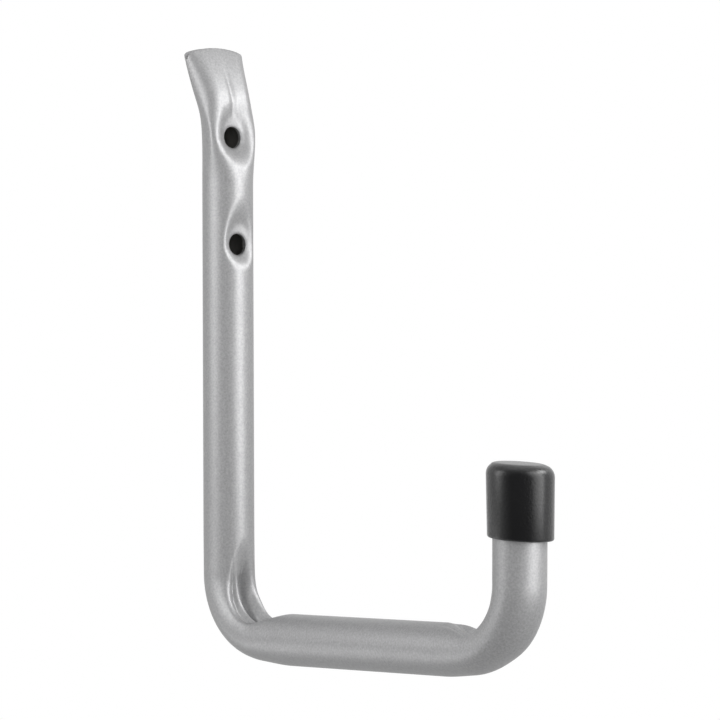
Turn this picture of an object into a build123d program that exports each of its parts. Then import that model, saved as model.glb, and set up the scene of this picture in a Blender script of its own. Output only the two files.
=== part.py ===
from build123d import *
import os
from dataclasses import dataclass
from math import cos, pi, radians, sin, sqrt

# Garage utility hook: one length of round steel tube, pressed flat at its upper
# end, dimpled for two screws, bent twice to a J, with a soft push-on end cap.
# Millimetres, +Z up. The wall is the plane Y = 0 and the hook reaches out to -Y.
# The origin is the centre of the two screw holes on the wall.

# The tube
tube_diameter = 19.0
tube_wall = 1.2

# The hook as a whole
overall_height = 229.5
tip_above_holes = 54.0
wall_to_riser_axis = 167.8
riser_height = 62.6
lower_bend_radius = 23.5
outer_bend_radius = 23.5
end_cut_tilt = 5.4

# The flattened upper end
flat_thickness = 3.4
press_length = 53.5
press_exponent = 2.13
crop_radius = 38.0
crop_corner_radius = 2.5
crop_depth = 8.0

# The screw holes and the dimples pressed round them
hole_spacing = 40.0
hole_diameter = 8.0
dimple_floor_diameter = 9.7
dimple_wall_slope = 1.0
dimple_upper_reach = 0.62
dimple_rim_blend = 3.0
dimple_floor_rounding = 1.6
upper_dimple_level = 12.5
lower_dimple_level = 15.2
upper_dip_depth = 2.1
upper_dip_length = 9.0
shoulder_rise = 2.8
shoulder_length = 18.0
crease_wall_slope = 0.55
crease_rounding = 1.8
crease_fall_length = 192.0

# The inner wall of each bend, folded in between two rims
fold_depth = 6.6
fold_floor_width = 7.2
fold_wall_slope = 0.7
fold_lead_in = 14.5
fold_run_out = 14.0
fold_deepest_turn = 74.0
fold_rim_blend = 3.0
fold_floor_rounding = 2.4
bend_widening = 0.08
bend_flattening = 0.2

# The end cap
cap_diameter = 23.8
cap_height = 26.0
cap_roof = 3.0
cap_top_edge_radius = 4.2
cap_mouth_edge = 0.6
cap_clearance = 0.05
cap_outward_shift = 0.4

# Spacing of the sections that the tube is formed through
dense_step = 2.6
formed_margin = 14.0
bend_step = 10.0
half_points = 20
outline_steps = 60

# Sizes worked out from those above
tube_radius = tube_diameter / 2
tip_z = tip_above_holes
arm_z = tip_z - overall_height + tube_radius
lower_bend_start_z = arm_z + lower_bend_radius
upper_hole_z = hole_spacing / 2
lower_hole_z = -hole_spacing / 2
press_start_z = tip_z - press_length
press_drop = tube_diameter - flat_thickness
post_length = tip_z - lower_bend_start_z
arm_length = wall_to_riser_axis - tube_radius - lower_bend_radius - outer_bend_radius
riser_length = riser_height - outer_bend_radius
lower_bend_length = lower_bend_radius * pi / 2
outer_bend_length = outer_bend_radius * pi / 2
arm_start = post_length + lower_bend_length
outer_bend_start = arm_start + arm_length
riser_start = outer_bend_start + outer_bend_length
tube_length = riser_start + riser_length
riser_axis_y = -wall_to_riser_axis
tube_end_z = arm_z + riser_height
cap_mouth_z = tube_end_z + cap_roof - cap_height


def smooth_step(value):
    """Rises from 0 to 1, level at both ends."""
    held = min(max(value, 0.0), 1.0)
    return held * held * (3 - 2 * held)


def blended_lower(first, second, blend):
    """The lower of two levels, rounded where they cross."""
    near = max(blend - abs(first - second), 0.0) / blend
    return min(first, second) - near * near * blend / 4


def rounded_rise(distance, rounding):
    """How far a distance is past zero, with the turn at zero rounded."""
    return (distance + sqrt(distance * distance + rounding * rounding)) / 2


@dataclass
class Section:
    """One cross-section of the tube: half width, the levels of its back, side
    and front from the tube's axis, and how square its two halves are."""

    half_width: float
    back: float
    side: float
    front: float
    back_power: float
    front_power: float

    def half_outline(self):
        """Points from the middle of the back, round the side, to the front."""
        points = []
        for k in range(outline_steps):
            turn = pi / 2 * (1 - k / outline_steps)
            x = self.half_width * cos(turn) ** (2 / self.back_power) if k else 0.0
            y = self.side - (self.side - self.back) * sin(turn) ** (2 / self.back_power)
            points.append((x, y))
        for k in range(outline_steps + 1):
            turn = pi / 2 * k / outline_steps
            last = k == outline_steps
            x = 0.0 if last else self.half_width * cos(turn) ** (2 / self.front_power)
            y = self.side + (self.front - self.side) * sin(turn) ** (2 / self.front_power)
            points.append((x, y))
        return points


def pressed_section(z, inset):
    """The section of the post at a height, before its dimples."""
    part = min(max((z - press_start_z) / press_length, 0.0), 1.0)
    dip = upper_dip_depth * smooth_step(1 - abs(z - upper_hole_z) / (2 * upper_dip_length))
    drop = press_drop * part**press_exponent + dip
    drop = min(drop, press_drop)
    # The girth stays the same, so what the depth loses the width gains
    half_width = tube_radius + drop * (pi / 4 - 1 / 2)
    lowering = smooth_step((part - 0.4) / 0.6)
    side = -(tube_radius - flat_thickness / 2) * lowering
    side += shoulder_rise * smooth_step(1 - abs(z - upper_hole_z) / shoulder_length)
    return Section(
        half_width - inset,
        -tube_radius + inset,
        side,
        tube_radius - drop - inset,
        2 + 2 * smooth_step((part - 0.5) / 0.5),
        2 + 3 * smooth_step((part - 0.4) / 0.4),
    )


def dimple_level(x, z, hole_z, level, inset):
    """How high the punch for one screw hole lets the front wall stand."""
    slope = dimple_wall_slope
    floor = level - tube_radius - inset
    floor_radius = dimple_floor_diameter / 2 + inset * (sqrt(1 + slope * slope) - 1) / slope
    rise_z = z - hole_z
    reach = dimple_upper_reach if rise_z > 0 else 1.0
    distance = sqrt(x * x + (reach * rise_z) ** 2)
    return floor + slope * rounded_rise(distance - floor_radius, dimple_floor_rounding)


def crease_level(x, z, inset):
    """The valley that runs from the upper dimple up into the flat end."""
    climb = max(z - upper_hole_z, 0.0)
    floor = upper_dimple_level - tube_radius - climb * climb / crease_fall_length - inset
    below = max(upper_hole_z - z, 0.0)
    round_x = sqrt(x * x + crease_rounding * crease_rounding) - crease_rounding
    return floor + crease_wall_slope * round_x + 2 * below


def post_outline(z, inset):
    """Half outline of the post at a height, dimples and crease included."""
    points = []
    for x, y in pressed_section(z, inset).half_outline():
        for hole_z, level in (
            (upper_hole_z, upper_dimple_level),
            (lower_hole_z, lower_dimple_level),
        ):
            y = blended_lower(y, dimple_level(x, z, hole_z, level, inset), dimple_rim_blend)
        y = blended_lower(y, crease_level(x, z, inset), dimple_rim_blend)
        points.append((x, y))
    return points


def fold_depth_at(run, bend_start, bend_radius, entering):
    """Depth of the folded inner wall at a run along the tube."""
    bend_length = bend_radius * pi / 2
    deepest = bend_radius * radians(fold_deepest_turn)
    along = run - bend_start
    if not entering:
        along = bend_length - along
    if along < deepest:
        return fold_depth * smooth_step((along + fold_lead_in) / (deepest + fold_lead_in))
    last = bend_length + fold_run_out
    return fold_depth * smooth_step((last - along) / (last - deepest))


def folded_outline(depth, inset):
    """Half outline of the tube where its inner wall is folded in by a depth."""
    plain = Section(
        tube_radius + bend_widening * depth - inset,
        -tube_radius + bend_flattening * depth + inset,
        0.0,
        tube_radius - inset,
        2.0,
        2.0,
    )
    slope = fold_wall_slope
    floor_half = fold_floor_width / 2 + inset * (sqrt(1 + slope * slope) - 1) / slope
    points = []
    for x, y in plain.half_outline():
        level = tube_radius - depth - inset
        level += slope * rounded_rise(x - floor_half, fold_floor_rounding)
        points.append((x, blended_lower(y, level, min(fold_rim_blend, depth + 0.01))))
    return points


def station_plane(run):
    """The plane across the tube at a run from the tip, its Y to the inner side."""
    if run <= post_length:
        return Plane((0, -tube_radius, tip_z - run), x_dir=(1, 0, 0), z_dir=(0, 0, -1))
    if run <= arm_start:
        turn = (run - post_length) / lower_bend_radius
        centre_y = -tube_radius - lower_bend_radius
        origin = (
            0,
            centre_y + lower_bend_radius * cos(turn),
            lower_bend_start_z - lower_bend_radius * sin(turn),
        )
        return Plane(origin, x_dir=(1, 0, 0), z_dir=(0, -sin(turn), -cos(turn)))
    if run <= outer_bend_start:
        y = -tube_radius - lower_bend_radius - (run - arm_start)
        return Plane((0, y, arm_z), x_dir=(1, 0, 0), z_dir=(0, -1, 0))
    if run <= riser_start:
        turn = (run - outer_bend_start) / outer_bend_radius
        origin = (
            0,
            riser_axis_y + outer_bend_radius * (1 - sin(turn)),
            arm_z + outer_bend_radius * (1 - cos(turn)),
        )
        return Plane(origin, x_dir=(1, 0, 0), z_dir=(0, -cos(turn), sin(turn)))
    z = arm_z + outer_bend_radius + run - riser_start
    return Plane((0, riser_axis_y, z), x_dir=(1, 0, 0), z_dir=(0, 0, 1))


def cut_plane(z):
    """The sloping plane of the riser's cut end, through its axis at a height."""
    tilt = radians(end_cut_tilt)
    return Plane((0, riser_axis_y, z), x_dir=(1, 0, 0), z_dir=(0, -sin(tilt), cos(tilt)))


def evenly(first, last, step):
    """Places from first to last, both included, about a step apart."""
    count = max(1, round((last - first) / step))
    return [first + (last - first) * k / count for k in range(count + 1)]


def half_outline_at(run, inset):
    """Half outline of the tube at a run from the tip."""
    if run < post_length - fold_lead_in:
        return post_outline(tip_z - run, inset)
    if run < arm_start + arm_length / 2:
        return folded_outline(
            fold_depth_at(run, post_length, lower_bend_radius, True), inset
        )
    return folded_outline(
        fold_depth_at(run, outer_bend_start, outer_bend_radius, False), inset
    )


def section_edge(points):
    """A closed smooth edge through the half outline and its mirror image, with
    its points evenly spaced round the section."""
    run = [0.0]
    for (x0, y0), (x1, y1) in zip(points, points[1:]):
        run.append(run[-1] + sqrt((x1 - x0) ** 2 + (y1 - y0) ** 2))
    half = []
    k = 0
    for n in range(half_points + 1):
        wanted = run[-1] * n / half_points
        while k < len(points) - 2 and run[k + 1] < wanted:
            k += 1
        share = (wanted - run[k]) / (run[k + 1] - run[k])
        (x0, y0), (x1, y1) = points[k], points[k + 1]
        half.append((x0 + (x1 - x0) * share, y0 + (y1 - y0) * share))
    closed = half + [(-x, y) for x, y in half[-2:0:-1]]
    last = len(closed)
    return Edge.make_spline(
        closed, periodic=True, parameters=[k / last for k in range(last + 1)]
    )


# The stretches of the tube, each with the runs at which its section is set
formed_end = tip_z - lower_hole_z + formed_margin
lower_fold_start = post_length - fold_lead_in
lower_fold_end = arm_start + fold_run_out
outer_fold_start = outer_bend_start - fold_run_out
outer_fold_end = riser_start + fold_lead_in
bend_arc_step = lower_bend_radius * radians(bend_step)
stretches = [
    evenly(0, formed_end, dense_step),
    [formed_end, lower_fold_start],
    evenly(lower_fold_start, lower_fold_end, bend_arc_step),
    [lower_fold_end, outer_fold_start],
    evenly(outer_fold_start, outer_fold_end, bend_arc_step),
]

# Each stretch is hollowed by a room of its own, which reaches one step past
# both of its ends
lengths = []
for stretch in stretches:
    reach = min(stretch[1] - stretch[0], bend_arc_step)
    with BuildPart() as room:
        for run in [stretch[0] - reach] + stretch + [stretch[-1] + reach]:
            held = min(max(run, stretch[0]), stretch[-1])
            with BuildSketch(station_plane(run)):
                with BuildLine():
                    add(section_edge(half_outline_at(held, tube_wall)))
                make_face()
        loft()
    with BuildPart() as length:
        for run in stretch:
            with BuildSketch(station_plane(run)):
                with BuildLine():
                    add(section_edge(half_outline_at(run, 0)))
                make_face()
        loft()
        add(room.part, mode=Mode.SUBTRACT)
    lengths.append(length.part)

# The last stretch of the riser ends in a saw cut that slopes outwards
riser_end_reach = tube_length - outer_fold_end + tube_diameter
with BuildPart() as riser_end:
    with BuildSketch(station_plane(outer_fold_end)):
        with BuildLine():
            add(section_edge(half_outline_at(outer_fold_end, 0)))
        make_face()
    extrude(amount=riser_end_reach)
    with BuildSketch(station_plane(outer_fold_end)):
        with BuildLine():
            add(section_edge(half_outline_at(outer_fold_end, tube_wall)))
        make_face()
    extrude(amount=riser_end_reach, both=True, mode=Mode.SUBTRACT)
    split(bisect_by=cut_plane(tube_end_z), keep=Keep.BOTTOM)

with BuildPart() as hook_tube:
    for formed_length in lengths:
        add(formed_length)
    add(riser_end.part)

    # The flat end is cropped to a round tip with soft corners
    tip_half_width = pressed_section(tip_z, 0).half_width
    with BuildSketch(Plane.XZ) as crop:
        with Locations((0, tip_z)):
            Rectangle(3 * tip_half_width, 2 * crop_depth)
        with BuildSketch(Plane.XZ, mode=Mode.PRIVATE) as kept:
            with Locations((0, tip_z - crop_radius)):
                Circle(crop_radius)
            with Locations((0, tip_z)):
                Rectangle(2 * tip_half_width, 2 * crop_depth, mode=Mode.INTERSECT)
            fillet(kept.vertices().group_by(Axis.Y)[-1], crop_corner_radius)
        add(kept.sketch, mode=Mode.SUBTRACT)
    extrude(amount=tube_diameter * 2, both=True, mode=Mode.SUBTRACT)

    # The two screw holes pass through the dimple and the back wall
    for hole_z in (upper_hole_z, lower_hole_z):
        with Locations(Plane((0, 0, hole_z), z_dir=(0, -1, 0))):
            Hole(hole_diameter / 2)

# The room in the cap, which stops at the tube's cut end
with BuildPart() as socket:
    with BuildSketch(Plane((0, riser_axis_y, cap_mouth_z - cap_diameter))):
        Circle(tube_radius + cap_clearance)
    extrude(amount=cap_height + cap_diameter)
    split(bisect_by=cut_plane(tube_end_z), keep=Keep.BOTTOM)

# A moulded cup, its roof and mouth parallel to the sloping end of the tube, and
# its outer wall a little thicker than its inner one
with BuildPart() as end_cap:
    cup_axis_y = riser_axis_y - cap_outward_shift
    with BuildSketch(Plane((0, cup_axis_y, cap_mouth_z - cap_diameter))):
        Circle(cap_diameter / 2)
    extrude(amount=cap_height + 2 * cap_diameter)
    split(bisect_by=cut_plane(cap_mouth_z + cap_height), keep=Keep.BOTTOM)
    split(bisect_by=cut_plane(cap_mouth_z), keep=Keep.TOP)
    fillet(end_cap.edges().sort_by(Axis.Z)[-1], cap_top_edge_radius)
    chamfer(end_cap.edges().sort_by(Axis.Z)[0], cap_mouth_edge)
    add(socket.part, mode=Mode.SUBTRACT)

os.makedirs("parts", exist_ok=True)
hook_tube.part.label = "hook_tube"
export_step(hook_tube.part, "parts/hook_tube.step")
end_cap.part.label = "end_cap"
export_step(end_cap.part, "parts/end_cap.step")
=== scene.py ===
import logging
import math
from dataclasses import dataclass, field
from enum import Enum

import bpy
from mathutils import Matrix, Vector, noise


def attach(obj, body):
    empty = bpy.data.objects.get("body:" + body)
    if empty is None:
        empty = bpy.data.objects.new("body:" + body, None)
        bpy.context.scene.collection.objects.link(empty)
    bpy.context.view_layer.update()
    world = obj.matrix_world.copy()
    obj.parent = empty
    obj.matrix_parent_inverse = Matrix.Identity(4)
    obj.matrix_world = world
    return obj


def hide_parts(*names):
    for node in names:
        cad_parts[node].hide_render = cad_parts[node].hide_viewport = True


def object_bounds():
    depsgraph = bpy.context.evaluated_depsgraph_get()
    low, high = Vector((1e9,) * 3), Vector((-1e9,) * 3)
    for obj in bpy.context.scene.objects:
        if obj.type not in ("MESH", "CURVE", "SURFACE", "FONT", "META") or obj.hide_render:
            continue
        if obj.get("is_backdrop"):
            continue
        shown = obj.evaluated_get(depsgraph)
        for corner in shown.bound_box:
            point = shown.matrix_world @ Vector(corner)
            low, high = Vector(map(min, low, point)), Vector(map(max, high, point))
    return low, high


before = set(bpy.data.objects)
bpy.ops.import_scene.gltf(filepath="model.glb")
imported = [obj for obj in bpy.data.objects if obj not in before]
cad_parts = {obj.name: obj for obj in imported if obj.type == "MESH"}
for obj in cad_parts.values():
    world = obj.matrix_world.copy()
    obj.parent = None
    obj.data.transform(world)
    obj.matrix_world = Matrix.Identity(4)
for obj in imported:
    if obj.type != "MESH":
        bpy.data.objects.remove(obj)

log = logging.getLogger("utility_hook")

MM = 0.001
QUARTER = math.pi / 2
# The power that draws a round quarter of a section; a higher one is squarer
ROUND = 2.0
# A pressed tube keeps its girth, so each side moves out by this share of the drop
WIDENING = math.pi / 4 - 0.5
# A weight or a mark on a point counts as set above this
MARKED = 0.5

Point = tuple[float, float]
Colour = tuple[float, float, float, float]
Socket = bpy.types.NodeSocket


class Side(Enum):
    """The side of the hook that a lamp stands on, as the camera sees it."""

    LEFT = -1
    RIGHT = 1


class Element(Enum):
    """What a selection in edit mode is made of."""

    EDGES = "EDGE"
    FACES = "FACE"


class Rule(Enum):
    """How a math node makes one value of two."""

    LARGER = "MAXIMUM"
    PRODUCT = "MULTIPLY"


class Layer(Enum):
    """The two outputs of the shared grain."""

    FINE = "Fine"
    BROAD = "Broad"

    @property
    def scale(self) -> str:
        """The name of the input that sets the layer's scale."""
        return f"{self.value} Scale"


def smooth_step(value: float) -> float:
    """Rises from 0 to 1, level at both ends."""
    held = min(max(value, 0.0), 1.0)
    return held * held * (3 - 2 * held)


def late_rise(part: float, start: float) -> float:
    """Stays at 0 up to a start, then rises to 1 at the end of a part."""
    return smooth_step((part - start) / (1 - start))


def hump(value: float, centre: float, width: float) -> float:
    """A soft bump of height 1 at its centre."""
    return math.exp(-(((value - centre) / width) ** 2))


def blended_lower(first: float, second: float, blend: float) -> float:
    """The lower of two levels, rounded where they cross."""
    near = max(blend - abs(first - second), 0.0) / blend
    return min(first, second) - near * near * blend / 4


def rounded_rise(distance: float, rounding: float) -> float:
    """How far a distance is past zero, with the turn at zero rounded."""
    return (distance + math.sqrt(distance * distance + rounding * rounding)) / 2


def wall_shift(inset: float, slope: float) -> float:
    """How far sideways the inner skin of a sloping wall lies from the outer one."""
    return inset * (math.sqrt(1 + slope * slope) - 1) / slope


def clear_selection() -> None:
    """Leaves nothing selected, so that the next operator acts on its own piece."""
    if bpy.context.object and bpy.context.object.mode != "OBJECT":
        bpy.ops.object.mode_set(mode="OBJECT")
    bpy.ops.object.select_all(action="DESELECT")


def pick(piece: bpy.types.Object) -> None:
    """Makes one piece the only one selected.

    Args:
        piece: the object that the next operators act on.
    """
    clear_selection()
    piece.select_set(True)
    bpy.context.view_layer.objects.active = piece


def start_selection(piece: bpy.types.Object, element: Element) -> None:
    """Clears a piece's own selection, ready for code to select in object mode.

    Args:
        piece: the object.
        element: what is selected next.
    """
    pick(piece)
    bpy.ops.object.mode_set(mode="EDIT")
    bpy.ops.mesh.select_mode(type=element.value)
    bpy.ops.mesh.select_all(action="DESELECT")
    bpy.ops.object.mode_set(mode="OBJECT")


def apply_modifiers(piece: bpy.types.Object) -> None:
    """Applies every modifier of a piece, first to last.

    Args:
        piece: the object.
    """
    pick(piece)
    for modifier in list(piece.modifiers):
        bpy.ops.object.modifier_apply(modifier=modifier.name)


def settle(piece: bpy.types.Object) -> None:
    """Moves a piece's place, turn and size into its mesh."""
    pick(piece)
    bpy.ops.object.transform_apply(location=True, rotation=True, scale=True)


@dataclass
class TubeForm:
    """The shape that the press and the bender give the tube, in millimetres.

    Heights are in the hook's frame, and levels of a section are measured from the
    tube's axis towards the inner side of the hook. Starts are shares of the pressed
    length, and turns are in degrees.
    """

    radius: float = 9.5
    wall: float = 1.2
    tip_z: float = 54.0
    overall_height: float = 229.5
    wall_to_riser_axis: float = 167.8
    riser_height: float = 62.6
    lower_bend_radius: float = 23.5
    outer_bend_radius: float = 23.5
    end_cut_tilt: float = 5.4

    flat_thickness: float = 3.4
    press_length: float = 53.5
    press_exponent: float = 2.13
    edge_level: float = 0.4
    edge_start: float = 0.4
    back_power: float = 4.0
    back_start: float = 0.5
    front_flat_share: float = 0.5
    front_flat_start: float = 0.02
    front_flat_reach: float = 0.35
    least_quarter: float = 0.3

    crop_radius: float = 38.0
    crop_corner: float = 2.5
    crop_fade: float = 20.0

    upper_hole_z: float = 20.0
    lower_hole_z: float = -20.0
    hole_radius: float = 4.0
    dimple_floor_radius: float = 4.85
    dimple_wall_slope: float = 1.0
    dimple_upper_reach: float = 0.62
    dimple_lower_reach: float = 1.15
    dimple_rim_blend: float = 3.4
    dimple_floor_rounding: float = 0.9
    upper_dimple_height: float = 12.5
    lower_dimple_height: float = 15.2
    upper_dip_depth: float = 2.1
    upper_dip_length: float = 18.0
    shoulder_rise: float = 2.8
    shoulder_length: float = 18.0

    crease_depth: float = 0.5
    crease_width: float = 1.3
    crease_low_z: float = 26.0
    crease_low_fade: float = 5.0
    crease_high_z: float = 53.0
    crease_high_fade: float = 16.0

    fold_depth: float = 6.6
    fold_floor_width: float = 7.2
    fold_wall_slope: float = 0.7
    fold_lead_in: float = 14.5
    fold_run_out: float = 14.0
    fold_deepest_turn: float = 74.0
    fold_onset: float = 0.75
    fold_rim_blend: float = 2.6
    fold_floor_rounding: float = 1.0
    least_blend: float = 0.01
    bend_widening: float = 0.08
    bend_flattening: float = 0.2

    dent_depth: float = 0.95
    dent_turn: float = 27.0
    dent_width: float = 14.0

    around: int = 120
    quarter_steps: int = 60
    rows_per_mm: int = 4
    runs_per_mm: int = 100
    post_rows: dict[tuple[int, float], list[Point]] = field(default_factory=dict)
    folded_rows: dict[tuple[int, float], list[Point]] = field(default_factory=dict)

    def __post_init__(self) -> None:
        """Works out the lengths that follow from the sizes."""
        self.arm_z = self.tip_z - self.overall_height + self.radius
        self.post_length = self.tip_z - self.arm_z - self.lower_bend_radius
        self.arm_start = self.post_length + self.lower_bend_radius * QUARTER
        arm = self.wall_to_riser_axis - self.radius
        arm -= self.lower_bend_radius + self.outer_bend_radius
        self.outer_bend_start = self.arm_start + arm
        self.riser_start = self.outer_bend_start + self.outer_bend_radius * QUARTER
        self.length = self.riser_start + self.riser_height - self.outer_bend_radius
        self.riser_y = -self.wall_to_riser_axis

    def section(
        self, half_width: float, back: float, side: float, front: float,
        back_power: float = ROUND, front_flat: float = 0.0,
    ) -> list[Point]:
        """Half outline of a section, from mid back to mid front.

        Args:
            half_width: half of the width.
            back: level of the back.
            side: level at which the section is widest.
            front: level of the front.
            back_power: how square the back half is.
            front_flat: half width of the front's flat.

        Returns:
            Points (x, level).
        """
        steps = self.quarter_steps
        points = []
        for k in range(steps):
            turn = QUARTER * (1 - k / steps)
            x = half_width * math.cos(turn) ** (2 / back_power) if k else 0.0
            rise = math.sin(turn) ** (2 / back_power)
            points.append((x, side - (side - back) * rise))
        corner = half_width - front_flat
        for k in range(steps):
            turn = QUARTER * k / steps
            points.append((
                front_flat + corner * math.cos(turn),
                side + (front - side) * math.sin(turn),
            ))
        flat_steps = steps if front_flat > 0 else 0
        for k in range(flat_steps):
            points.append((front_flat * (1 - k / flat_steps), front))
        points.append((0.0, front))
        return points

    def even(self, points: list[Point]) -> list[Point]:
        """Spaces points evenly along a half outline.

        Args:
            points: the half outline.

        Returns:
            One point for each row of the mesh.
        """
        run = [0.0]
        for (x0, y0), (x1, y1) in zip(points, points[1:]):
            run.append(run[-1] + math.hypot(x1 - x0, y1 - y0))
        spaced = []
        k = 0
        half = self.around // 2
        for n in range(half + 1):
            wanted = run[-1] * n / half
            while k < len(points) - 2 and run[k + 1] < wanted:
                k += 1
            share = (wanted - run[k]) / (run[k + 1] - run[k])
            (x0, y0), (x1, y1) = points[k], points[k + 1]
            spaced.append((x0 + (x1 - x0) * share, y0 + (y1 - y0) * share))
        return spaced

    def pressed(self, z: float, inset: float) -> list[Point]:
        """Half outline of the post at a height, before its dimples.

        Args:
            z: the height.
            inset: depth under the outer skin.

        Returns:
            Points (x, level), from mid back to mid front.
        """
        part = min(max((z - self.tip_z) / self.press_length + 1, 0.0), 1.0)
        most = 2 * self.radius - self.flat_thickness
        away = abs(z - self.upper_hole_z)
        drop = most * part**self.press_exponent
        drop += self.upper_dip_depth * smooth_step(1 - away / self.upper_dip_length)
        drop = min(drop, most)
        side = -(self.radius - self.edge_level) * late_rise(part, self.edge_start)
        side += self.shoulder_rise * smooth_step(1 - away / self.shoulder_length)
        half_width = self.radius + drop * WIDENING - inset
        front = self.radius - drop - inset
        back = -self.radius + inset
        flatness = smooth_step((part - self.front_flat_start) / self.front_flat_reach)
        return self.section(
            half_width,
            back,
            min(max(side, back + self.least_quarter), front - self.least_quarter),
            front,
            ROUND + (self.back_power - ROUND) * late_rise(part, self.back_start),
            half_width * self.front_flat_share * flatness,
        )

    def dimple_level(
        self, x: float, z: float, hole_z: float, height: float, inset: float
    ) -> float:
        """How high the punch for one screw hole lets the front wall stand.

        Args:
            x: distance to the side.
            z: the height.
            hole_z: height of the hole.
            height: how far the dimple's floor stands off the wall.
            inset: depth under the outer skin.

        Returns:
            The highest level that the wall can have there.
        """
        rise = z - hole_z
        reach = self.dimple_upper_reach if rise > 0 else self.dimple_lower_reach
        slope = self.dimple_wall_slope
        distance = math.hypot(x, reach * rise) - self.dimple_floor_radius
        distance -= wall_shift(inset, slope)
        lift = rounded_rise(distance, self.dimple_floor_rounding)
        return height - self.radius - inset + slope * lift

    def crease_drop(self, x: float, z: float) -> float:
        """Depth of the soft crease from the upper dimple up into the flat end.

        Args:
            x: distance to the side.
            z: the height.

        Returns:
            The depth.
        """
        strength = smooth_step((z - self.crease_low_z) / self.crease_low_fade)
        strength *= smooth_step((self.crease_high_z - z) / self.crease_high_fade)
        return self.crease_depth * strength * hump(x, 0.0, self.crease_width)

    def post_row(self, z: float, inset: float) -> list[Point]:
        """Evenly spaced half outline of the post, dimples and crease included.

        Args:
            z: the height.
            inset: depth under the outer skin.

        Returns:
            Points (x, level), from mid back to mid front.
        """
        points = []
        for n, (x, y) in enumerate(self.pressed(z, inset)):
            for hole_z, height in (
                (self.upper_hole_z, self.upper_dimple_height),
                (self.lower_hole_z, self.lower_dimple_height),
            ):
                floor = self.dimple_level(x, z, hole_z, height, inset)
                y = blended_lower(y, floor, self.dimple_rim_blend)
            if n > self.quarter_steps:
                y -= self.crease_drop(x, z)
            points.append((x, y))
        return self.even(points)

    def post_point(self, k: int, z: float, inset: float) -> Point:
        """One point of the post's skin, read between kept rows.

        Args:
            k: number of the point, counted from mid back.
            z: the height.
            inset: depth under the outer skin.

        Returns:
            The point (x, level).
        """
        low = math.floor(z * self.rows_per_mm)
        for row in (low, low + 1):
            if (row, inset) not in self.post_rows:
                level = row / self.rows_per_mm
                self.post_rows[row, inset] = self.post_row(level, inset)
        share = z * self.rows_per_mm - low
        x0, y0 = self.post_rows[low, inset][k]
        x1, y1 = self.post_rows[low + 1, inset][k]
        return x0 + (x1 - x0) * share, y0 + (y1 - y0) * share

    def fold_depth_at(self, run: float) -> float:
        """Depth of the folded inner wall, which is deepest late in each bend.

        Args:
            run: distance along the tube from its tip.

        Returns:
            The depth.
        """
        if run < (self.arm_start + self.outer_bend_start) / 2:
            radius = self.lower_bend_radius
            along = run - self.post_length
        else:
            radius = self.outer_bend_radius
            along = radius * QUARTER - (run - self.outer_bend_start)
        deepest = radius * math.radians(self.fold_deepest_turn)
        if along < deepest:
            part = (along + self.fold_lead_in) / (deepest + self.fold_lead_in)
            return self.fold_depth * smooth_step(max(part, 0.0) ** self.fold_onset)
        last = radius * QUARTER + self.fold_run_out
        return self.fold_depth * smooth_step((last - along) / (last - deepest))

    def folded_row(self, run: float, inset: float) -> list[Point]:
        """Evenly spaced half outline of the tube in and between its bends.

        Args:
            run: distance along the tube from its tip.
            inset: depth under the outer skin.

        Returns:
            Points (x, level), from mid back to mid front.
        """
        depth = self.fold_depth_at(run)
        plain = self.section(
            self.radius + self.bend_widening * depth - inset,
            -self.radius + self.bend_flattening * depth + inset,
            0.0,
            self.radius - inset,
        )
        slope = self.fold_wall_slope
        half = self.fold_floor_width / 2 + wall_shift(inset, slope)
        blend = min(self.fold_rim_blend, depth + self.least_blend)
        points = []
        for x, y in plain:
            lift = slope * rounded_rise(x - half, self.fold_floor_rounding)
            level = self.radius - depth - inset + lift
            points.append((x, blended_lower(y, level, blend)))
        return self.even(points)

    def folded_point(self, k: int, run: float, inset: float) -> Point:
        """One point of the skin in or between the bends, from kept rows.

        Args:
            k: number of the point, counted from mid back.
            run: distance along the tube from its tip.
            inset: depth under the outer skin.

        Returns:
            The point (x, level).
        """
        key = (round(run * self.runs_per_mm), inset)
        if key not in self.folded_rows:
            self.folded_rows[key] = self.folded_row(run, inset)
        return self.folded_rows[key][k]

    def dent(self, y: float, run: float) -> float:
        """Depth of the flattened spot on the outer bend's outer wall.

        Args:
            y: level in the section.
            run: distance along the tube from its tip.

        Returns:
            The depth, none at the tube's sides.
        """
        turn = math.degrees((run - self.outer_bend_start) / self.outer_bend_radius)
        strength = hump(turn, self.dent_turn, self.dent_width)
        return self.dent_depth * strength * (y / self.radius) ** 2

    def place(self, x: float, y: float, run: float) -> Vector:
        """Puts a point of a section where the bent tube has it.

        Args:
            x: distance to the side.
            y: level in the section.
            run: distance along the tube from its tip.

        Returns:
            The place in the hook's frame, in millimetres.
        """
        radius = self.radius
        if run <= self.post_length:
            return Vector((x, -radius - y, self.tip_z - run))
        if run <= self.arm_start:
            turn = (run - self.post_length) / self.lower_bend_radius
            reach = self.lower_bend_radius - y
            return Vector((
                x,
                -radius - self.lower_bend_radius + reach * math.cos(turn),
                self.arm_z + self.lower_bend_radius - reach * math.sin(turn),
            ))
        if run <= self.outer_bend_start:
            along = self.lower_bend_radius + run - self.arm_start
            return Vector((x, -radius - along, self.arm_z + y))
        if run <= self.riser_start:
            turn = (run - self.outer_bend_start) / self.outer_bend_radius
            reach = self.outer_bend_radius - y
            return Vector((
                x,
                self.riser_y + self.outer_bend_radius - reach * math.sin(turn),
                self.arm_z + self.outer_bend_radius - reach * math.cos(turn),
            ))
        z = self.arm_z + self.outer_bend_radius + run - self.riser_start
        return Vector((x, self.riser_y + y, z))


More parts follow.
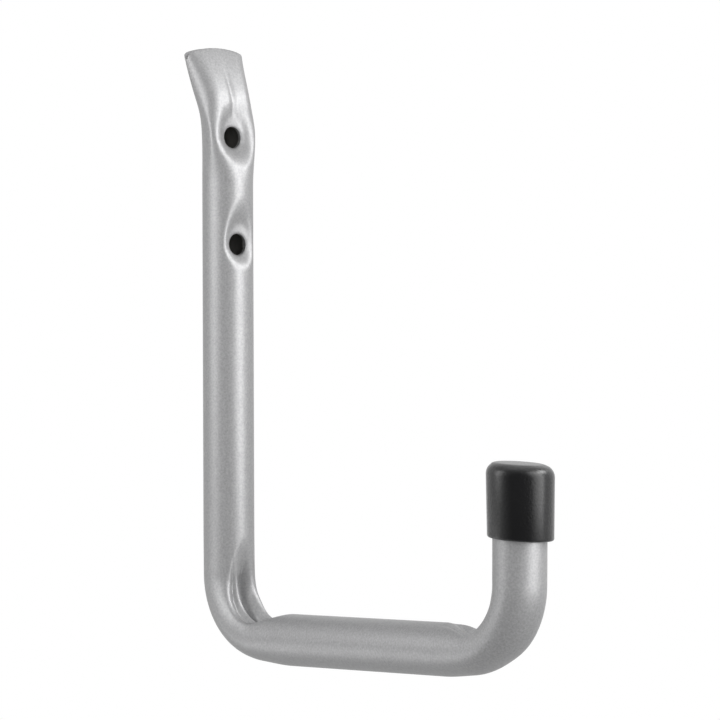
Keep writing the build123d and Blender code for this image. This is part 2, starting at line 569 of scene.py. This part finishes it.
@dataclass(frozen=True)
class Ridge:
    """One ridge of a creased wall, in millimetres, where a height below 0 is a groove.

    Its lean is how far it wanders sideways round the bend.
    """

    height: float
    place: float
    width: float
    lean: float = 0.0

    def at(self, x: float, share: float) -> float:
        """Height at a distance to the side, for a share of the lean."""
        return self.height * hump(x, self.place + self.lean * share, self.width)


@dataclass(frozen=True)
class CreasedWall:
    """Where a bend's folded wall buckled, in millimetres, with turns in degrees."""

    ridges: tuple[Ridge, ...]
    start: float
    start_fade: float
    end: float
    end_fade: float
    noise_level: float
    pocket_ridges: tuple[Ridge, ...] = ()
    pocket_turn: float = 102.0
    pocket_width: float = 15.0
    upright_turn: float = 45.0
    lean_turn: float = 30.0
    noise_height: float = 0.3
    noise_across: float = 0.5
    noise_along: float = 0.13

    def lift(self, x: float, turn: float, run: float) -> float:
        """Lift of the wall towards the inner side of the hook.

        Args:
            x: distance to the side.
            turn: how far round the bend.
            run: distance along the tube from its tip.

        Returns:
            The lift.
        """
        strength = smooth_step((turn - self.start) / self.start_fade)
        strength *= smooth_step((self.end - turn) / self.end_fade)
        share = (turn - self.upright_turn) / self.lean_turn
        height = sum(ridge.at(x, share) for ridge in self.ridges)
        pocket = hump(turn, self.pocket_turn, self.pocket_width)
        height += pocket * sum(ridge.at(x, share) for ridge in self.pocket_ridges)
        place = (x * self.noise_across, run * self.noise_along, self.noise_level)
        height += self.noise_height * noise.noise(Vector(place))
        return strength * height


@dataclass
class HookTube:
    """The bent steel tube: a straight blank, pressed, punched, bent and folded.

    Sizes are in millimetres, turns in degrees.
    """

    form: TubeForm
    fine_step: float = 0.66
    coarse_step: float = 9.0
    press_margin: float = 14.0
    bend_split: float = 18.0
    ring_slack: float = 0.05
    tip_half_width: float = 0.0

    creased_from: float = -40.0
    creased_to: float = 125.0
    lower_wall: CreasedWall = CreasedWall(
        ridges=(
            Ridge(1.3, -1.3, 1.2, lean=0.9),
            Ridge(-3.0, 2.0, 1.4, lean=0.5),
            Ridge(-0.5, -3.7, 0.6, lean=0.5),
        ),
        start=-24.0, start_fade=50.0, end=108.0, end_fade=26.0, noise_level=3.1,
    )
    outer_wall: CreasedWall = CreasedWall(
        ridges=(
            Ridge(1.0, -0.9, 1.0),
            Ridge(-1.6, 2.0, 1.2),
            Ridge(-0.9, -3.7, 0.8),
        ),
        start=-14.0, start_fade=50.0, end=128.0, end_fade=30.0, noise_level=9.7,
        pocket_ridges=(Ridge(0.5, 3.6, 1.2), Ridge(-1.2, -0.4, 1.6)),
    )

    roll_depth: float = 0.3
    roll_width: float = 0.9
    roll_from: float = 0.5
    roll_to: float = 1.4
    cut_edge: float = 0.12
    cut_angle: float = 60.0
    smooth_angle: float = 50.0

    def stretches(self) -> list[tuple[float, float]]:
        """Lists where each stretch of the blank ends and how far apart its rings are.

        A stretch takes at most 100 cuts, so the finely ringed ones are halved.

        Returns:
            The end and the ring spacing of each stretch, from the tip on.
        """
        form = self.form
        pressed_end = form.tip_z - form.lower_hole_z + self.press_margin
        return [
            (pressed_end / 2, self.fine_step),
            (pressed_end, self.fine_step),
            (form.post_length - form.fold_lead_in, self.coarse_step),
            (form.post_length + self.bend_split, self.fine_step),
            (form.arm_start + form.fold_run_out, self.fine_step),
            (form.outer_bend_start - form.fold_run_out, self.coarse_step),
            (form.outer_bend_start + self.bend_split, self.fine_step),
            (form.riser_start + form.fold_lead_in, self.fine_step),
            (form.length, self.coarse_step),
        ]

    def blank(self) -> bpy.types.Object:
        """Draws the straight tube before forming, as rings from the tip down.

        Returns:
            The blank, an open tube with its rings set close where it is formed.
        """
        form = self.form
        clear_selection()
        bpy.ops.mesh.primitive_circle_add(
            vertices=form.around, radius=form.radius * MM, fill_type="NOTHING",
            location=(0, -form.radius * MM, form.tip_z * MM),
        )
        piece = bpy.context.object
        piece.name = "formed_tube"
        bpy.ops.object.mode_set(mode="EDIT")
        bpy.ops.mesh.select_all(action="SELECT")
        start = 0.0
        for end, step in self.stretches():
            bpy.ops.mesh.extrude_region_move(
                TRANSFORM_OT_translate={"value": (0, 0, (start - end) * MM)}
            )
            self.ring_cuts(piece, start, end, round((end - start) / step) - 1)
            start = end
        bpy.ops.object.mode_set(mode="OBJECT")
        settle(piece)
        return piece

    def ring_cuts(
        self, piece: bpy.types.Object, start: float, end: float, cuts: int
    ) -> None:
        """Cuts one stretch of the blank into rings, then selects its last ring.

        Args:
            piece: the blank, in edit mode.
            start: where the stretch starts, from the tip.
            end: where it ends.
            cuts: how many cuts it takes.
        """
        if cuts > 0:
            self.select_between(piece, start, end, lengthwise=True)
            bpy.ops.mesh.subdivide(number_cuts=cuts, quadcorner="STRAIGHT_CUT")
        self.select_between(piece, end, end, lengthwise=False)

    def select_between(
        self, piece: bpy.types.Object, start: float, end: float, lengthwise: bool
    ) -> None:
        """Selects the lengthwise edges of a stretch, or the ring at its end.

        Args:
            piece: the blank.
            start: where the stretch starts, from the tip.
            end: where it ends.
            lengthwise: whether the edges along the tube are wanted, or those round it.
        """
        start_selection(piece, Element.EDGES)
        mesh = piece.data
        slack = self.ring_slack * MM
        low = -end * MM - slack
        high = -start * MM + slack
        for edge in mesh.edges:
            z0, z1 = sorted(mesh.vertices[v].co.z for v in edge.vertices)
            along = z1 - z0 > slack
            edge.select = along == lengthwise and z0 > low and z1 < high
        bpy.ops.object.mode_set(mode="EDIT")

    def creases(self, x: float, run: float) -> float:
        """Lift of the folded inner walls at a place on the tube.

        Args:
            x: distance to the side.
            run: distance along the tube from its tip.

        Returns:
            The lift towards the inner side of the hook.
        """
        form = self.form
        turn = math.degrees((run - form.post_length) / form.lower_bend_radius)
        if self.creased_from < turn < self.creased_to:
            return self.lower_wall.lift(x, turn, run)
        turn = math.degrees((form.riser_start - run) / form.outer_bend_radius)
        if self.creased_from < turn < self.creased_to:
            return self.outer_wall.lift(x, turn, run)
        return 0.0

    def spot(self, around: float, run: float, inset: float) -> Vector:
        """Where the press and the bender bring one point of the blank.

        Args:
            around: number of the point round the blank, from mid back, with the
                side's sign.
            run: distance along the blank from its tip.
            inset: depth under the outer skin.

        Returns:
            The place in the hook's frame, in millimetres.
        """
        form = self.form
        k = round(abs(around))
        sign = -1.0 if around < 0 else 1.0
        if run < form.post_length - form.fold_lead_in:
            z = form.tip_z - run
            if run < form.crop_fade:
                z -= self.crop_drop(form.post_point(k, z, 0.0)[0], run)
            x, y = form.post_point(k, z, inset)
            return form.place(sign * x, y, form.tip_z - z)
        x, y = form.folded_point(k, run, inset)
        x *= sign
        y += self.creases(x, run) if y > 0 else form.dent(y, run)
        place = form.place(x, y, run)
        if run > form.riser_start:
            share = (run - form.riser_start) / (form.length - form.riser_start)
            tilt = math.tan(math.radians(form.end_cut_tilt))
            place.z += tilt * (place.y - form.riser_y) * share
        return place

    def crop_drop(self, x: float, run: float) -> float:
        """How far the round crop of the tip pulls a point down.

        Args:
            x: distance to the side.
            run: distance along the blank from its tip.

        Returns:
            The way down, in millimetres.
        """
        form = self.form
        corner_x = self.tip_half_width - form.crop_corner
        drop = form.crop_radius - math.sqrt(form.crop_radius**2 - x * x)
        past = min(max(x - corner_x, 0.0), form.crop_corner)
        drop += form.crop_corner - math.sqrt(form.crop_corner**2 - past * past)
        return drop * (1 - run / form.crop_fade) ** 2

    def shape(self, piece: bpy.types.Object) -> None:
        """Presses, dimples, bends and folds the blank by moving its rings.

        Args:
            piece: the blank, whose points keep their place on it as attributes.
        """
        form = self.form
        self.tip_half_width = max(x for x, _ in form.pressed(form.tip_z, 0.0))
        half = form.around // 2
        mesh = piece.data
        around = mesh.attributes.new("around", "FLOAT", "POINT").data
        along = mesh.attributes.new("along", "FLOAT", "POINT").data
        for n, vertex in enumerate(mesh.vertices):
            co = vertex.co / MM
            turn = math.atan2(co.x, co.y + form.radius) / math.pi
            around[n].value = round(turn * half)
            along[n].value = form.tip_z - co.z
            vertex.co = self.spot(around[n].value, along[n].value, 0.0) * MM
        mesh.update()

    def rolled(self, co: Vector, on_rim: bool) -> Vector:
        """Rolls the edge of a screw hole inwards and keeps its rim round.

        Args:
            co: a point of the tube, in metres.
            on_rim: whether the point lies on the rim of a hole.

        Returns:
            The moved point.
        """
        form = self.form
        radius = form.hole_radius * MM
        for hole_z in (form.upper_hole_z * MM, form.lower_hole_z * MM):
            away = math.hypot(co.x, co.z - hole_z)
            if away > radius * self.roll_to or away < radius * self.roll_from:
                continue
            place = co.copy()
            if on_rim:
                place.x *= radius / away
                place.z = hole_z + (place.z - hole_z) * radius / away
                away = radius
            inwards = 1.0 if co.y < -form.radius * MM else -1.0
            roll = max(1 - (away - radius) / (self.roll_width * MM), 0.0)
            place.y += inwards * self.roll_depth * MM * roll * roll
            return place
        return co

    def open_holes(self, piece: bpy.types.Object) -> None:
        """Cuts both screw holes through both walls and marks their rims.

        Args:
            piece: the formed skin.
        """
        form = self.form
        mesh = piece.data
        centres = (form.upper_hole_z * MM, form.lower_hole_z * MM)
        radius = form.hole_radius * MM
        start_selection(piece, Element.FACES)
        for face in mesh.polygons:
            face.select = any(
                math.hypot(face.center.x, face.center.z - z) < radius for z in centres
            )
        bpy.ops.object.mode_set(mode="EDIT")
        bpy.ops.mesh.delete(type="FACE")
        bpy.ops.mesh.select_mode(type="VERT")
        bpy.ops.mesh.select_non_manifold(
            extend=False, use_wire=False, use_boundary=True,
            use_multi_face=False, use_non_contiguous=False, use_verts=False,
        )
        bpy.ops.object.mode_set(mode="OBJECT")
        rims = mesh.attributes.new("rim", "FLOAT", "POINT").data
        for n, vertex in enumerate(mesh.vertices):
            rims[n].value = 1.0 if vertex.select else 0.0
            vertex.co = self.rolled(vertex.co, vertex.select)
        mesh.update()

    def thicken(self, piece: bpy.types.Object) -> None:
        """Gives the skin its wall, sets the inner skin and softens the cut edges.

        Args:
            piece: the formed skin with its holes open.
        """
        form = self.form
        piece.vertex_groups.new(name="inner_skin")
        wall = piece.modifiers.new("wall", "SOLIDIFY")
        wall.thickness = form.wall * MM
        wall.offset = -1.0
        wall.material_offset = 1
        wall.shell_vertex_group = "inner_skin"
        apply_modifiers(piece)
        mesh = piece.data
        around = mesh.attributes["around"].data
        along = mesh.attributes["along"].data
        rims = mesh.attributes["rim"].data
        for n, vertex in enumerate(mesh.vertices):
            if any(group.weight > MARKED for group in vertex.groups):
                place = self.spot(around[n].value, along[n].value, form.wall) * MM
                vertex.co = self.rolled(place, rims[n].value > MARKED)
        mesh.update()
        for name in ("around", "along", "rim"):
            mesh.attributes.remove(mesh.attributes[name])
        piece.vertex_groups.clear()
        edge = piece.modifiers.new("edge", "BEVEL")
        edge.width = self.cut_edge * MM
        edge.segments = 1
        edge.limit_method = "ANGLE"
        edge.angle_limit = math.radians(self.cut_angle)
        apply_modifiers(piece)
        bpy.ops.object.shade_smooth_by_angle(angle=math.radians(self.smooth_angle))

    def build(
        self, finish: bpy.types.Material, inside: bpy.types.Material
    ) -> bpy.types.Object:
        """Makes the whole tube and dresses it.

        Args:
            finish: the metal finish.
            inside: the bare metal of the inner skin, darkened as painted shade.

        Returns:
            The tube, which stands for its CAD node.
        """
        piece = self.blank()
        piece.data.materials.append(finish)
        piece.data.materials.append(inside)
        self.shape(piece)
        self.open_holes(piece)
        self.thicken(piece)
        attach(piece, "root")
        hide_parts("hook_tube")
        return piece


@dataclass
class EndCap:
    """The soft cap, a moulded cup pushed over the tube's cut end, in millimetres."""

    form: TubeForm
    radius: float = 11.9
    mouth_radius: float = 11.55
    height: float = 26.0
    roof: float = 3.0
    outward_shift: float = 0.4
    taper_share: float = 0.55
    outer_margin: float = 0.5
    top_edge: float = 4.2
    top_edge_steps: int = 10
    lip: float = 0.8
    lip_steps: int = 4
    round_profile: float = 0.5
    clearance: float = 0.05
    level_slack: float = 0.01
    rim_slack: float = 0.05
    facets: int = 128
    facing_down: float = -0.99
    smooth_angle: float = 40.0

    def __post_init__(self) -> None:
        """Works out where the cup sits on the tube, in metres."""
        self.end_z = (self.form.arm_z + self.form.riser_height) * MM
        self.mouth_z = self.end_z + (self.roof - self.height) * MM
        self.axis_y = self.form.riser_y * MM

    def build(self, finish: bpy.types.Material) -> bpy.types.Object:
        """Makes the cup and dresses it.

        Args:
            finish: the rubber finish.

        Returns:
            The cap, which stands for its CAD node.
        """
        clear_selection()
        height = self.height * MM
        bpy.ops.mesh.primitive_cylinder_add(
            vertices=self.facets, radius=self.radius * MM, depth=height,
            location=(0, self.axis_y, self.mouth_z + height / 2),
        )
        piece = bpy.context.object
        piece.name = "soft_cap"
        settle(piece)
        top_z = self.mouth_z + height
        self.round_edge(piece, top_z, self.top_edge, self.top_edge_steps)
        self.hollow(piece)
        self.round_edge(piece, self.mouth_z, self.lip, self.lip_steps)
        self.fit(piece)
        pick(piece)
        bpy.ops.object.shade_smooth_by_angle(angle=math.radians(self.smooth_angle))
        piece.data.materials.clear()
        piece.data.materials.append(finish)
        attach(piece, "root")
        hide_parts("end_cap")
        return piece

    def round_edge(
        self, piece: bpy.types.Object, level: float, width: float, steps: int
    ) -> None:
        """Rounds the cup's outer edge at one level with a bevel.

        Args:
            piece: the cup.
            level: height of the edge, in metres.
            width: radius of the rounding, in millimetres.
            steps: facets of the rounding.
        """
        start_selection(piece, Element.EDGES)
        mesh = piece.data
        rim = (self.radius - self.rim_slack) * MM
        for edge in mesh.edges:
            edge.select = all(
                abs(co.z - level) < self.level_slack * MM
                and math.hypot(co.x, co.y - self.axis_y) > rim
                for co in (mesh.vertices[v].co for v in edge.vertices)
            )
        bpy.ops.object.mode_set(mode="EDIT")
        bpy.ops.mesh.bevel(
            offset=width * MM, segments=steps, profile=self.round_profile
        )
        bpy.ops.object.mode_set(mode="OBJECT")

    def hollow(self, piece: bpy.types.Object) -> None:
        """Sinks the socket into the cup's mouth, up to the tube's end.

        Args:
            piece: the cup, solid so far.
        """
        start_selection(piece, Element.FACES)
        for face in piece.data.polygons:
            face.select = face.normal.z < self.facing_down
        bpy.ops.object.mode_set(mode="EDIT")
        bore = self.form.radius + self.clearance
        bpy.ops.mesh.inset(thickness=(self.radius - bore) * MM)
        bpy.ops.mesh.extrude_region_move(
            TRANSFORM_OT_translate={"value": (0, 0, self.end_z - self.mouth_z)}
        )
        bpy.ops.object.mode_set(mode="OBJECT")

    def fit(self, piece: bpy.types.Object) -> None:
        """Tapers the cup's outside to its mouth and leans it with the tube's cut.

        Args:
            piece: the hollow cup.
        """
        taper_z = self.mouth_z + self.height * self.taper_share * MM
        taper = (self.radius - self.mouth_radius) / self.radius
        tilt = math.tan(math.radians(self.form.end_cut_tilt))
        for vertex in piece.data.vertices:
            co = vertex.co
            aside = co.y - self.axis_y
            if math.hypot(co.x, aside) > (self.form.radius + self.outer_margin) * MM:
                low = (taper_z - co.z) / (taper_z - self.mouth_z)
                low = min(max(low, 0.0), 1.0)
                share = 1 - taper * low * low
                co.x *= share
                co.y = self.axis_y + aside * share - self.outward_shift * MM
            co.z += tilt * (co.y - self.axis_y)


class NodeBench:
    """Lays out and links the nodes of one material or group."""

    def __init__(self, tree: bpy.types.NodeTree) -> None:
        """Keeps the tree that the nodes are made in."""
        self.tree = tree

    def add(self, kind: str, **values: object) -> bpy.types.Node:
        """Makes a node and sets its properties and inputs.

        Args:
            kind: the node's type name.
            values: properties by name, or inputs by name with spaces as underscores.

        Returns:
            The node.
        """
        node = self.tree.nodes.new(kind)
        for name, value in values.items():
            if hasattr(node, name):
                setattr(node, name, value)
            else:
                node.inputs[name.replace("_", " ")].default_value = value
        return node

    def link(self, start: Socket, end: Socket) -> None:
        """Joins an output to an input."""
        self.tree.links.new(start, end)

    def spread(
        self, value: Socket, low: float, high: float,
        start: float = 0.0, end: float = 1.0,
    ) -> Socket:
        """Maps a value onto a range.

        Args:
            value: the value.
            low: what the range's start becomes.
            high: what its end becomes.
            start: where the value's own range starts.
            end: where it ends.

        Returns:
            The mapped value.
        """
        node = self.add(
            "ShaderNodeMapRange", From_Min=start, From_Max=end, To_Min=low, To_Max=high
        )
        self.link(value, node.inputs["Value"])
        return node.outputs["Result"]

    def joined(self, rule: Rule, first: Socket, second: Socket) -> Socket:
        """Makes one value of two.

        Args:
            rule: what the one value is.
            first: the first value.
            second: the second value.

        Returns:
            The one value.
        """
        node = self.add("ShaderNodeMath", operation=rule.value)
        self.link(first, node.inputs[0])
        self.link(second, node.inputs[1])
        return node.outputs["Value"]

    def seen_directly(self) -> Socket:
        """Tells the camera's view and reflections from the light that falls.

        Returns:
            1 on camera, glossy and transmission rays, and 0 on the rest.
        """
        path = self.add("ShaderNodeLightPath").outputs
        seen = self.joined(Rule.LARGER, path["Is Camera Ray"], path["Is Glossy Ray"])
        return self.joined(Rule.LARGER, seen, path["Is Transmission Ray"])


@dataclass
class Grain:
    """The shared node group that gives a surface fine grain and broad mottling."""

    fine_scale: float = 2000.0
    broad_scale: float = 60.0
    detail: float = 2.0
    roughness: float = 0.6

    def __post_init__(self) -> None:
        """Builds the group once."""
        self.group = bpy.data.node_groups.new("surface_grain", "ShaderNodeTree")
        face = self.group.interface
        kind = "NodeSocketFloat"
        face.new_socket("Position", in_out="INPUT", socket_type="NodeSocketVector")
        for layer, scale in zip(Layer, (self.fine_scale, self.broad_scale)):
            face.new_socket(layer.value, in_out="OUTPUT", socket_type=kind)
            asked = face.new_socket(layer.scale, in_out="INPUT", socket_type=kind)
            asked.default_value = scale
        bench = NodeBench(self.group)
        entry = bench.add("NodeGroupInput")
        out = bench.add("NodeGroupOutput")
        for layer in Layer:
            spots = bench.add(
                "ShaderNodeTexNoise", Detail=self.detail, Roughness=self.roughness
            )
            bench.link(entry.outputs["Position"], spots.inputs["Vector"])
            bench.link(entry.outputs[layer.scale], spots.inputs["Scale"])
            bench.link(spots.outputs["Fac"], out.inputs[layer.value])

    def place(self, bench: NodeBench, fine: float, broad: float) -> bpy.types.Node:
        """Puts the group into a material, fed by Object coordinates.

        Args:
            bench: the material's nodes.
            fine: scale of the fine grain.
            broad: scale of the broad mottling.

        Returns:
            The group node.
        """
        node = bench.tree.nodes.new("ShaderNodeGroup")
        node.node_tree = self.group
        node.inputs[Layer.FINE.scale].default_value = fine
        node.inputs[Layer.BROAD.scale].default_value = broad
        where = bench.add("ShaderNodeTexCoord")
        bench.link(where.outputs["Object"], node.inputs["Position"])
        return node


@dataclass(frozen=True)
class Finish:
    """What every finish has: two shades, and the grain that mixes them."""

    name: str
    light: Colour
    dark: Colour
    fine_scale: float
    broad_scale: float
    mixed_by: Layer

    def make(self, grain: Grain) -> bpy.types.Material:
        """Builds the finish.

        Args:
            grain: the shared grain group.

        Returns:
            The material.
        """
        finish = bpy.data.materials.new(self.name)
        finish.use_nodes = True
        bench = NodeBench(finish.node_tree)
        shader = bench.tree.nodes["Principled BSDF"]
        spots = grain.place(bench, self.fine_scale, self.broad_scale)
        shade = bench.add("ShaderNodeMix", data_type="RGBA", A=self.dark, B=self.light)
        bench.link(spots.outputs[self.mixed_by.value], shade.inputs["Factor"])
        bench.link(shade.outputs["Result"], shader.inputs["Base Color"])
        self.dress(bench, shader, spots)
        return finish

    def dress(
        self, bench: NodeBench, shader: bpy.types.Node, spots: bpy.types.Node
    ) -> None:
        """Adds what only this finish has.

        Args:
            bench: the material's nodes.
            shader: the shader.
            spots: the grain's group node.
        """
        raise NotImplementedError


@dataclass(frozen=True)
class GrainedFinish(Finish):
    """A finish whose roughness wanders and whose grain stands out, by metres."""

    smoothest: float
    roughest: float
    grain_strength: float
    grain_height: float

    def dress(
        self, bench: NodeBench, shader: bpy.types.Node, spots: bpy.types.Node
    ) -> None:
        """Adds the roughness and the relief.

        Args:
            bench: the material's nodes.
            shader: the shader.
            spots: the grain's group node.
        """
        rough = bench.spread(
            spots.outputs[Layer.BROAD.value], self.smoothest, self.roughest
        )
        bench.link(rough, shader.inputs["Roughness"])
        relief = bench.add(
            "ShaderNodeBump", Strength=self.grain_strength, Distance=self.grain_height
        )
        bench.link(spots.outputs[Layer.FINE.value], relief.inputs["Height"])
        bench.link(relief.outputs["Normal"], shader.inputs["Normal"])


@dataclass(frozen=True)
class SatinMetal(GrainedFinish):
    """Silver satin finish of the tube, with a fine speckle."""

    name: str = "satin_metal"
    light: Colour = (0.38, 0.38, 0.384, 1.0)
    dark: Colour = (0.20, 0.20, 0.203, 1.0)
    fine_scale: float = 1300.0
    broad_scale: float = 70.0
    mixed_by: Layer = Layer.FINE
    smoothest: float = 0.43
    roughest: float = 0.51
    grain_strength: float = 0.2
    grain_height: float = 0.0001
    metallic: float = 0.6

    def dress(
        self, bench: NodeBench, shader: bpy.types.Node, spots: bpy.types.Node
    ) -> None:
        """Adds the metal to the roughness and the relief."""
        super().dress(bench, shader, spots)
        shader.inputs["Metallic"].default_value = self.metallic


@dataclass(frozen=True)
class PaintedShadeInside(Finish):
    """Dull bare steel inside the tube, its dark colour a painted shade of the tube's
    hollow.
    """

    name: str = "painted_shade_inside"
    # Painted shade: both colours are darkened to stand in for the shade inside the tube
    # and its holes
    light: Colour = (0.19, 0.185, 0.175, 1.0)
    dark: Colour = (0.08, 0.077, 0.072, 1.0)
    fine_scale: float = 900.0
    broad_scale: float = 60.0
    mixed_by: Layer = Layer.BROAD
    roughness: float = 0.7
    specular: float = 0.2

    def dress(
        self, bench: NodeBench, shader: bpy.types.Node, spots: bpy.types.Node
    ) -> None:
        """Sets an even, dull surface with little shine."""
        shader.inputs["Roughness"].default_value = self.roughness
        shader.inputs["Specular IOR Level"].default_value = self.specular


@dataclass(frozen=True)
class CapRubber(GrainedFinish):
    """Black rubber of the cap, with a soft sheen that grows towards its outline."""

    name: str = "cap_rubber"
    light: Colour = (0.005, 0.005, 0.0055, 1.0)
    dark: Colour = (0.002, 0.002, 0.0025, 1.0)
    fine_scale: float = 1100.0
    broad_scale: float = 90.0
    mixed_by: Layer = Layer.BROAD
    smoothest: float = 0.30
    roughest: float = 0.42
    grain_strength: float = 0.6
    grain_height: float = 0.0003
    specular: float = 0.1
    coat_roughness: float = 0.28
    facing_blend: float = 0.5
    sheen_start: float = 0.04
    sheen_end: float = 0.24
    least_sheen: float = 0.06
    most_sheen: float = 0.66
    least_mottle: float = 0.6
    most_mottle: float = 1.4

    def dress(
        self, bench: NodeBench, shader: bpy.types.Node, spots: bpy.types.Node
    ) -> None:
        """Adds the mottled sheen.

        Args:
            bench: the material's nodes.
            shader: the shader.
            spots: the grain's group node.
        """
        super().dress(bench, shader, spots)
        shader.inputs["Specular IOR Level"].default_value = self.specular
        shader.inputs["Coat Roughness"].default_value = self.coat_roughness
        facing = bench.add("ShaderNodeLayerWeight", Blend=self.facing_blend)
        sheen = bench.spread(
            facing.outputs["Facing"], self.least_sheen, self.most_sheen,
            self.sheen_start, self.sheen_end,
        )
        mottle = bench.spread(
            spots.outputs[Layer.FINE.value], self.least_mottle, self.most_mottle
        )
        coat = bench.joined(Rule.PRODUCT, sheen, mottle)
        bench.link(coat, shader.inputs["Coat Weight"])


@dataclass(frozen=True)
class SoftBox:
    """One soft lamp: its turn from the camera in degrees, and the rest in metres."""

    name: str
    side: Side
    turn: float
    reach: float
    rise: float
    size: tuple[float, float]
    power: float


@dataclass
class Studio:
    """The pale floor, the white surroundings, the lamps and the camera, in metres."""

    floor_z: float = -0.6
    floor_size: float = 6.0
    floor_colour: Colour = (0.8, 0.8, 0.8, 1.0)
    floor_roughness: float = 0.9
    floor_white: float = 0.85
    white: Colour = (1.0, 1.0, 1.0, 1.0)
    surround_light: float = 0.3
    soft_boxes: tuple[SoftBox, ...] = (
        SoftBox("left_box", Side.LEFT, 70.0, 0.5, 0.16, (0.3, 0.42), 1.4),
        SoftBox("right_box", Side.RIGHT, 57.0, 0.48, 0.13, (0.34, 0.55), 3.05),
        SoftBox("high_right_box", Side.RIGHT, 93.0, 0.55, 0.41, (0.28, 0.2), 1.7),
        SoftBox("low_left_box", Side.LEFT, 96.0, 0.6, -0.35, (0.4, 0.3), 0.65),
        SoftBox("overhead_box", Side.RIGHT, 0.0, 0.0, 1.2, (0.9, 0.9), 1.4),
    )
    aim: tuple[float, float, float] = (0.0, -0.08, -0.06)
    camera_turn: float = -41.0
    camera_place: tuple[float, float, float] = (-0.9512, -1.1787, -0.0829)
    camera_right: tuple[float, float, float] = (0.75474, -0.65601, -0.00404)
    camera_back: tuple[float, float, float] = (-0.65600, -0.75465, -0.01307)
    lens: float = 201.7
    sensor_width: float = 36.0

    def surroundings(self) -> None:
        """Makes a world that is white where it is seen, and plain light elsewhere."""
        world = bpy.data.worlds.new("white_room")
        world.use_nodes = True
        bpy.context.scene.world = world
        bench = NodeBench(world.node_tree)
        bench.tree.nodes.clear()
        level = bench.spread(bench.seen_directly(), self.surround_light, 1.0)
        glow = bench.add("ShaderNodeBackground", Color=self.white)
        bench.link(level, glow.inputs["Strength"])
        out = bench.add("ShaderNodeOutputWorld")
        bench.link(glow.outputs["Background"], out.inputs["Surface"])

    def floor(self) -> None:
        """Lays the pale floor, nearly white where it is seen, which keeps shadows."""
        clear_selection()
        bpy.ops.mesh.primitive_plane_add(
            size=self.floor_size, location=(0, 0, self.floor_z)
        )
        floor = bpy.context.object
        floor.name = "pale_floor"
        finish = bpy.data.materials.new("pale_floor")
        finish.use_nodes = True
        bench = NodeBench(finish.node_tree)
        shader = bench.tree.nodes["Principled BSDF"]
        shader.inputs["Base Color"].default_value = self.floor_colour
        shader.inputs["Roughness"].default_value = self.floor_roughness
        glow = bench.add("ShaderNodeEmission", Color=self.white, Strength=1.0)
        mix = bench.add("ShaderNodeMixShader")
        part = bench.spread(bench.seen_directly(), 0.0, self.floor_white)
        bench.link(part, mix.inputs["Fac"])
        bench.link(shader.outputs["BSDF"], mix.inputs[1])
        bench.link(glow.outputs["Emission"], mix.inputs[2])
        out = bench.tree.nodes["Material Output"]
        bench.link(mix.outputs["Shader"], out.inputs["Surface"])
        floor.data.materials.append(finish)
        floor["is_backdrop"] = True

    def hang(self, box: SoftBox) -> None:
        """Hangs one soft box round the hook and faces it to the hook.

        Args:
            box: the soft box.
        """
        aim = Vector(self.aim)
        facing = math.radians(self.camera_turn + box.side.value * box.turn)
        place = aim + Vector((
            math.sin(facing) * box.reach, -math.cos(facing) * box.reach, box.rise,
        ))
        clear_selection()
        bpy.ops.object.light_add(type="AREA", location=place)
        lamp = bpy.context.object
        lamp.name = box.name
        lamp.rotation_euler = (aim - place).to_track_quat("-Z", "Y").to_euler()
        lamp.data.shape = "RECTANGLE"
        lamp.data.size, lamp.data.size_y = box.size
        lamp.data.energy = box.power

    def camera(self) -> None:
        """Sets the camera at the photograph's viewing angle."""
        right = Vector(self.camera_right).normalized()
        back = Vector(self.camera_back).normalized()
        up = back.cross(right).normalized()
        right = up.cross(back).normalized()
        clear_selection()
        bpy.ops.object.camera_add()
        camera = bpy.context.object
        turn = Matrix((right, up, back)).transposed().to_4x4()
        camera.matrix_world = Matrix.Translation(self.camera_place) @ turn
        camera.data.lens = self.lens
        camera.data.sensor_width = self.sensor_width
        bpy.context.scene.camera = camera

    def build(self) -> None:
        """Sets up the whole studio."""
        bpy.context.scene.view_settings.view_transform = "Standard"
        self.surroundings()
        self.floor()
        for box in self.soft_boxes:
            self.hang(box)
        self.camera()


def plain_box(box: object) -> list[list[float]]:
    """A box's two corners as plain lists of numbers."""
    return [[float(value) for value in corner] for corner in box]


def main(cad_box: list[list[float]]) -> None:
    """Builds the hook, its cap and the studio, and reports each piece.

    Args:
        cad_box: the CAD model's box, kept from the start; not used.
    """
    grain = Grain()
    form = TubeForm()
    pieces = [
        HookTube(form).build(SatinMetal().make(grain), PaintedShadeInside().make(grain)),
        EndCap(form).build(CapRubber().make(grain)),
    ]
    for piece in pieces:
        log.info("%s: %d faces", piece.name, len(piece.data.polygons))
    Studio().build()


if __name__ == "__main__":
    logging.basicConfig(level=logging.INFO)
    main(plain_box(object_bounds()))
